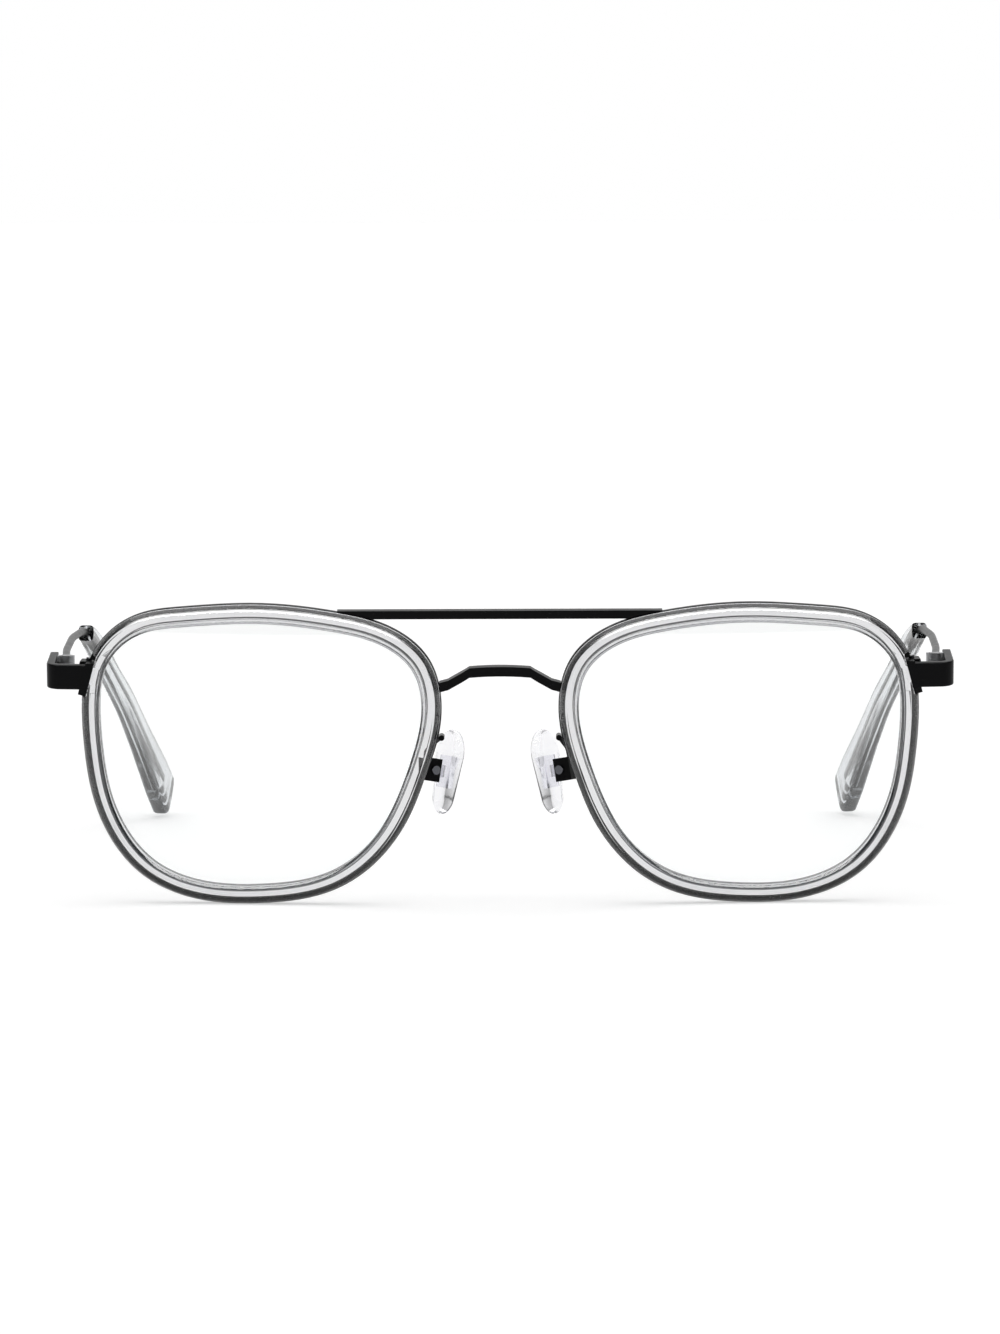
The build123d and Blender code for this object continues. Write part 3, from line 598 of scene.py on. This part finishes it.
# temple tips, in millimetres and degrees: a station is a place along the tip from 0 to 1, and there
# the share of the full thickness and of the full height
tipLook = {
    "hinge": (-67.57, -57.610705, 36.604119), "knuckle": 1.3, "leaf": (1.5, 3.6), "lead": 4.0,
    "first": (1.95, 36.0, 0.3), "bow": (2.85, 62.0, 0.3), "ear": (2.5, 90.0, -0.3), "middle": (-2.7, 0.42),
    "end": (-7.9, 136.0, 36.0), "radii": [40.0, 180.0, 180.0, 26.0, 110.0],
    "length": 60.0, "thick": 3.0, "tall": 7.0, "squareness": 4.5, "coreSetback": 7.0, "stand": 0.1,
    "bore": 0.65, "boreSteps": 60, "steps": 72, "endSteps": 14, "endFrom": 0.94, "around": 40,
    "spacing": 0.1, "lookAhead": 8, "arcSteps": 24, "smoothAngle": 50,
    "stations": [(0.0, 0.85, 0.38), (0.12, 0.88, 0.56), (0.3, 0.86, 0.58), (0.65, 0.94, 0.84),
                 (0.88, 1.1, 1.1), (0.975, 1.1, 1.12), (0.985, 1.0, 1.05)],
    "tint": "#E2E4E6", "cloud": "#D8DBDD", "cloudSpan": (0.35, 0.65), "roughness": 0.08, "shadow": "#7E8284",
    # deepen: a tone darker further back, with painted shade on the underside there
    "deepen": {"from": 40 * mm, "to": 64 * mm, "back": "#CDD0D3",
               "sideways": -0.15, "downwards": -0.75, "paintedUndersideShade": "#3E4347"},
}


def armCorners():  # the temple wire's corners, from the hinge back to the end of the tip
    t = tipLook
    x, y, z = t["hinge"]
    back = front["shiftBack"] / mm
    start = np.array((x - t["knuckle"] + t["leaf"][0] / 2, y + t["leaf"][1], z))
    ear = np.array((x - t["ear"][0], t["ear"][1] + back, z + t["ear"][2]))
    endHeight = t["stand"] + t["tall"] / 2 * cos(radians(t["end"][2]))
    end = np.array((x - t["end"][0], t["end"][1] + back, endHeight))
    middle = ear + (end - ear) * t["middle"][1]
    middle[0] = x - t["middle"][0]
    first, bow = ((x - t[k][0], t[k][1] + back, z + t[k][2]) for k in ("first", "bow"))
    return [start, start + (0, t["lead"], 0), first, bow, ear, middle, end]


def roundedRoute(corners, radii, spacing):  # straight runs with arcs at their corners, as dense points
    pts = [np.array(c, float) for c in corners]
    out = [pts[0]]
    for i, radius in enumerate(radii, 1):
        a, b = pts[i - 1] - pts[i], pts[i + 1] - pts[i]
        a, b = a / np.linalg.norm(a), b / np.linalg.norm(b)
        half = np.arccos(np.clip(a @ b, -1, 1)) / 2
        reach = radius / np.tan(half)
        middle = pts[i] + (a + b) / np.linalg.norm(a + b) * radius / sin(half)
        first, last = pts[i] + a * reach - middle, pts[i] + b * reach - middle
        sweep = pi - 2 * half
        for t in np.arange(tipLook["arcSteps"] + 1) / tipLook["arcSteps"]:
            out.append(middle + (sin((1 - t) * sweep) * first + sin(t * sweep) * last) / sin(sweep))
    out.append(pts[-1])
    out = np.array(out)
    run = np.concatenate([[0], np.cumsum(np.linalg.norm(np.diff(out, axis=0), axis=1))])
    even = np.linspace(0, run[-1], int(run[-1] / spacing) + 1)
    return np.stack([np.interp(even, run, out[:, k]) for k in range(3)], 1), run[-1]


def tipMesh(name):
    t = tipLook
    route, length = roundedRoute(armCorners(), t["radii"], t["spacing"])
    start = 1 - t["length"] / length
    stationAt, thickAt, tallAt = np.array(t["stations"]).T
    coreLast = 1 - t["coreSetback"] / t["length"]
    sleeve = np.linspace(0, t["endFrom"], t["steps"])
    paddleEnd = np.linspace(t["endFrom"], stationAt[-1], t["endSteps"])
    shares = sorted(set(np.round(np.concatenate([sleeve, paddleEnd]), 6)))

    def ringAt(share, size, count):
        place = (start + (1 - start) * share) * (len(route) - 1)
        i = int(min(place, len(route) - 2))
        spot = route[i] + (route[i + 1] - route[i]) * (place - i)
        ahead = route[min(i + t["lookAhead"], len(route) - 1)] - route[max(i - t["lookAhead"], 0)]
        ahead /= np.linalg.norm(ahead)
        aside = np.cross((0, 0, 1), ahead)
        aside /= np.linalg.norm(aside)
        upright = np.cross(ahead, aside)
        return [spot + aside * size(a)[0] + upright * size(a)[1] for a in np.arange(count) * 2 * pi / count]

    def outer(share):
        thick = np.interp(share, stationAt, thickAt) * t["thick"] / 2
        tall = np.interp(share, stationAt, tallAt) * t["tall"] / 2
        power = 2 / t["squareness"]  # between an oval and a rounded bar

        def size(a):
            return (thick * np.sign(cos(a)) * abs(cos(a)) ** power,
                    tall * np.sign(sin(a)) * abs(sin(a)) ** power)
        return size

    def bore(a):
        return t["bore"] * cos(a), t["bore"] * sin(a)

    vertices, faces, outerRings, boreRings = [], [], [], []
    n = t["around"]
    for share in shares:
        outerRings.append(range(len(vertices), len(vertices) + n))
        vertices += ringAt(share, outer(share), n)
    for share in np.linspace(0, coreLast, t["boreSteps"]):
        boreRings.append(range(len(vertices), len(vertices) + n))
        vertices += ringAt(share, bore, n)
    for rings in (outerRings, boreRings):
        for one, two in zip(rings, rings[1:]):
            for k in range(n):
                m = (k + 1) % n
                faces.append((one[k], one[m], two[m], two[k]))
    for k in range(n):
        m = (k + 1) % n
        faces.append((outerRings[0][m], outerRings[0][k], boreRings[0][k], boreRings[0][m]))
    faces.append(tuple(outerRings[-1]))
    faces.append(tuple(boreRings[-1]))
    return meshObject(name, [Vector(v) * mm for v in vertices], faces, t["smoothAngle"])


tipAcetate = crystalAcetate("polishedTipAcetate", tipLook)
tipRight = tipMesh("templeTipRight")
tips = {"right": tipRight, "left": mirrorMesh(tipRight, "templeTipLeft")}
for side in sideNames:
    dress(tips[side], tipAcetate)
    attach(tips[side], f"temple_{side}")
    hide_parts(f"temple_tip_{side}")
print("stage: temple tips")

# nose pads, in millimetres and degrees
padLook = {
    "halfGap": {"right": 8.3, "left": 7.4}, "back": 7.2, "level": -3.6, "splay": 30.0, "lean": 12.0,
    "topRadius": 3.45, "bottomRadius": 2.3, "length": 13.3, "thick": 2.35, "around": 96, "rings": 9,
    "faceCrown": 0.9, "edgeFullness": 0.45, "smoothAngle": 60,
    "silicone": ("#F4F4F6", 0.08, 1.3), "insert": ("#EDEDF2", 0.05, 1.38),
}


def padMesh(name, halfGap):  # a drop shaped pillow: rounded rim, gently crowned faces
    p = padLook
    splay, lean = radians(p["splay"]), radians(p["lean"])
    upward = Vector((sin(lean), 0, cos(lean)))
    rearward = Vector((-sin(splay), cos(splay), 0))
    toNose = rearward.cross(upward).normalized()
    upright = toNose.cross(rearward)
    centre = Vector((-halfGap, p["back"] + front["shiftBack"] / mm, p["level"] + front["shiftUp"] / mm))
    reach = p["length"] / 2
    topY, bottomY = reach - p["topRadius"], -reach + p["bottomRadius"]
    lift = np.arcsin((p["topRadius"] - p["bottomRadius"]) / (topY - bottomY))
    edge = []
    for k in range(p["around"]):
        a = 2 * pi * k / p["around"]
        if -lift <= a % (2 * pi) <= pi + lift or a > 2 * pi - lift:
            edge.append((p["topRadius"] * cos(a), topY + p["topRadius"] * sin(a)))
        else:
            edge.append((p["bottomRadius"] * cos(a), bottomY + p["bottomRadius"] * sin(a)))
    vertices, faces, rings = [], [], []
    half = p["thick"] / 2
    for k in range(p["rings"] * 2 + 1):  # from the middle of the back face over the rim to the front face
        angle = -pi / 2 + pi * k / (p["rings"] * 2)
        depth = half * np.sign(sin(angle)) * abs(sin(angle)) ** p["faceCrown"]
        share = abs(cos(angle)) ** p["edgeFullness"]
        rings.append(range(len(vertices), len(vertices) + len(edge)))
        vertices += [(x * share, y * share, depth) for x, y in edge]
    for one, two in zip(rings, rings[1:]):
        for k in range(len(edge)):
            m = (k + 1) % len(edge)
            faces.append((one[k], one[m], two[m], two[k]))
    place = Matrix((rearward, upright, toNose)).transposed().to_4x4()
    place.translation = centre
    return meshObject(name, [(place @ Vector(v)) * mm for v in vertices], faces, p["smoothAngle"])


def softClear(name, tint, roughness, ior):
    # clear moulded silicone or polycarbonate: smooth from the mould, slightly hazy inside. The IOR is
    # under the real one, so that the small pads stay as pale as they are in soft light
    material, tree = newMaterial(name)
    spot = addNode(tree, "ShaderNodeTexCoord")
    haze = addNode(tree, "ShaderNodeTexNoise", inputs={
        "Vector": (spot, "Object"), "Scale": 400.0, "Detail": 2.0})  # clouds about 2.5 mm wide
    rough = addNode(tree, "ShaderNodeMapRange", inputs={
        "Value": (haze, "Fac"), "To Min": roughness * 0.7, "To Max": roughness * 1.4})
    shade = addNode(tree, "ShaderNodeBsdfPrincipled", inputs={
        "Base Color": linearColour(tint), "Roughness": (rough, "Result"), "IOR": ior,
        "Transmission Weight": 1.0})
    return finishClear(material, tree, shade, tint)


padSilicone = softClear("clearMouldedSilicone", *padLook["silicone"])
insertPlastic = softClear("clearMouldedPolycarbonate", *padLook["insert"])
for side in sideNames:
    pad = padMesh(f"nosePad{side.capitalize()}", padLook["halfGap"][side])
    if side == "left":
        turned = mirrorMesh(pad, "nosePadLeftPiece")
        bpy.data.objects.remove(pad)
        pad = turned
        pad.name = "nosePadLeft"
    dress(pad, padSilicone)
    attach(pad, f"pad_{side}")
    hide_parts(f"nose_pad_{side}")
    dress(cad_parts[f"pad_insert_{side}"], insertPlastic)
print("stage: nose pads")

# table, light and camera
stageLook = {
    "floorColour": "#E6E6E6", "floorGlow": 0.42, "floorAside": 3.0, "floorFront": -1.5, "floorBack": 8.0,
    "skyForThings": 0.42, "skyInFront": 0.02, "skyBehind": 1.0, "skyTurn": (0.0, 0.6),
    "softbox": 12.0, "softboxLow": (0.6, 0.7), "softboxBack": (-0.1, -0.3),
    "sunPower": 1.75, "sunWidth": 75.0, "sunTilt": -12.0,
}


def whitePaper():
    # matt white paper sweep: reads white to the eye, keeps the soft shadow
    material, tree = newMaterial("mattWhitePaper")
    spot = addNode(tree, "ShaderNodeTexCoord")
    fibre = addNode(tree, "ShaderNodeTexNoise", inputs={
        "Vector": (spot, "Object"), "Scale": 600.0, "Detail": 2.0})  # fibres about 1.5 mm apart
    rough = addNode(tree, "ShaderNodeMapRange", inputs={
        "Value": (fibre, "Fac"), "To Min": 0.8, "To Max": 1.0})
    matt = addNode(tree, "ShaderNodeBsdfDiffuse", inputs={
        "Color": linearColour(stageLook["floorColour"]), "Roughness": (rough, "Result")})
    glow = addNode(tree, "ShaderNodeEmission", inputs={
        "Color": (1, 1, 1, 1), "Strength": stageLook["floorGlow"]})
    dark = addNode(tree, "ShaderNodeEmission", inputs={"Color": (0, 0, 0, 1), "Strength": 0.0})
    seen = seenDirectly(tree, addNode(tree, "ShaderNodeLightPath"))
    mix = addNode(tree, "ShaderNodeMixShader", inputs={0: (seen, "Value"), 1: (dark, 0), 2: (glow, 0)})
    both = addNode(tree, "ShaderNodeAddShader", inputs={0: (matt, "BSDF"), 1: (mix, "Shader")})
    addNode(tree, "ShaderNodeOutputMaterial", inputs={"Surface": (both, "Shader")})
    return material


aside, nearEdge, farEdge = (stageLook[key] for key in ("floorAside", "floorFront", "floorBack"))
floor = meshObject("paperFloor", [
    (-aside, nearEdge, 0), (aside, nearEdge, 0), (aside, farEdge, 0), (-aside, farEdge, 0)], [(0, 1, 2, 3)])
dress(floor, whitePaper())

world = bpy.data.worlds.new("studio")
bpy.context.scene.world = world
world.use_nodes = True
sky = world.node_tree
sky.nodes.clear()
path = addNode(sky, "ShaderNodeLightPath")
seen = seenDirectly(sky, path)
towards = addNode(sky, "ShaderNodeTexCoord")
axes = addNode(sky, "ShaderNodeSeparateXYZ", inputs={"Vector": (towards, "Generated")})
backdrop = addNode(sky, "ShaderNodeMapRange", inputs={  # white behind the glasses, dark in front of them
    "Value": (axes, "Y"), "From Min": stageLook["skyTurn"][0], "From Max": stageLook["skyTurn"][1],
    "To Min": stageLook["skyInFront"], "To Max": stageLook["skyBehind"]})
strength = addNode(sky, "ShaderNodeMix", inputs={
    0: (seen, "Value"), 2: stageLook["skyForThings"], 3: (backdrop, "Result")})
overhead = addNode(sky, "ShaderNodeMapRange", inputs={  # a bright softbox overhead, met by reflections alone
    "Value": (axes, "Z"), "From Min": stageLook["softboxLow"][0], "From Max": stageLook["softboxLow"][1],
    "To Max": stageLook["softbox"]})
forward = addNode(sky, "ShaderNodeMapRange", inputs={
    "Value": (axes, "Y"), "From Min": stageLook["softboxBack"][0], "From Max": stageLook["softboxBack"][1]})
softbox = addNode(sky, "ShaderNodeMath", {"operation": "MULTIPLY"}, {
    0: (overhead, "Result"), 1: (forward, "Result")})
direct = addNode(sky, "ShaderNodeMath", {"operation": "LESS_THAN"}, {  # no matt surface met on the way
    0: (path, "Diffuse Depth"), 1: 0.5})
mirrored = addNode(sky, "ShaderNodeMath", {"operation": "MULTIPLY"}, {
    0: (path, "Is Reflection Ray"), 1: (direct, "Value")})
strength = addNode(sky, "ShaderNodeMath", {"operation": "MULTIPLY_ADD"}, {
    0: (softbox, "Value"), 1: (mirrored, "Value"), 2: (strength, "Result")})
light = addNode(sky, "ShaderNodeBackground", inputs={"Color": (1, 1, 1, 1), "Strength": (strength, "Value")})
addNode(sky, "ShaderNodeOutputWorld", inputs={"Surface": (light, "Background")})

# a wide sun, so that the shadows are soft
lamp = bpy.data.lights.new("softOverhead", "SUN")
lamp.energy, lamp.angle = stageLook["sunPower"], radians(stageLook["sunWidth"])
lampThing = bpy.data.objects.new("softOverhead", lamp)
bpy.context.scene.collection.objects.link(lampThing)
lampThing.rotation_euler = (radians(stageLook["sunTilt"]), 0, 0)

cameraLook = {
    "distance": 1.0, "height": 0.1185, "pitch": 4.662, "yaw": -0.3, "roll": -0.2,
    "focal": 175.4, "sensor": 36.0, "clip": (0.05, 50.0),
}
camera = bpy.data.cameras.new("camera")
camera.lens, camera.sensor_width, camera.sensor_fit = cameraLook["focal"], cameraLook["sensor"], "AUTO"
camera.clip_start, camera.clip_end = cameraLook["clip"]
cameraThing = bpy.data.objects.new("camera", camera)
bpy.context.scene.collection.objects.link(cameraThing)
yaw = radians(cameraLook["yaw"])
cameraThing.location = (-cameraLook["distance"] * sin(yaw),
                        front["shiftBack"] - cameraLook["distance"] * cos(yaw), cameraLook["height"])
cameraThing.rotation_euler = (radians(90 - cameraLook["pitch"]), 0, -yaw)
cameraThing.rotation_euler.rotate_axis("Z", radians(cameraLook["roll"]))
bpy.context.scene.camera = cameraThing
bpy.context.scene.view_settings.view_transform = "Standard"
print("stage: table, light and camera")
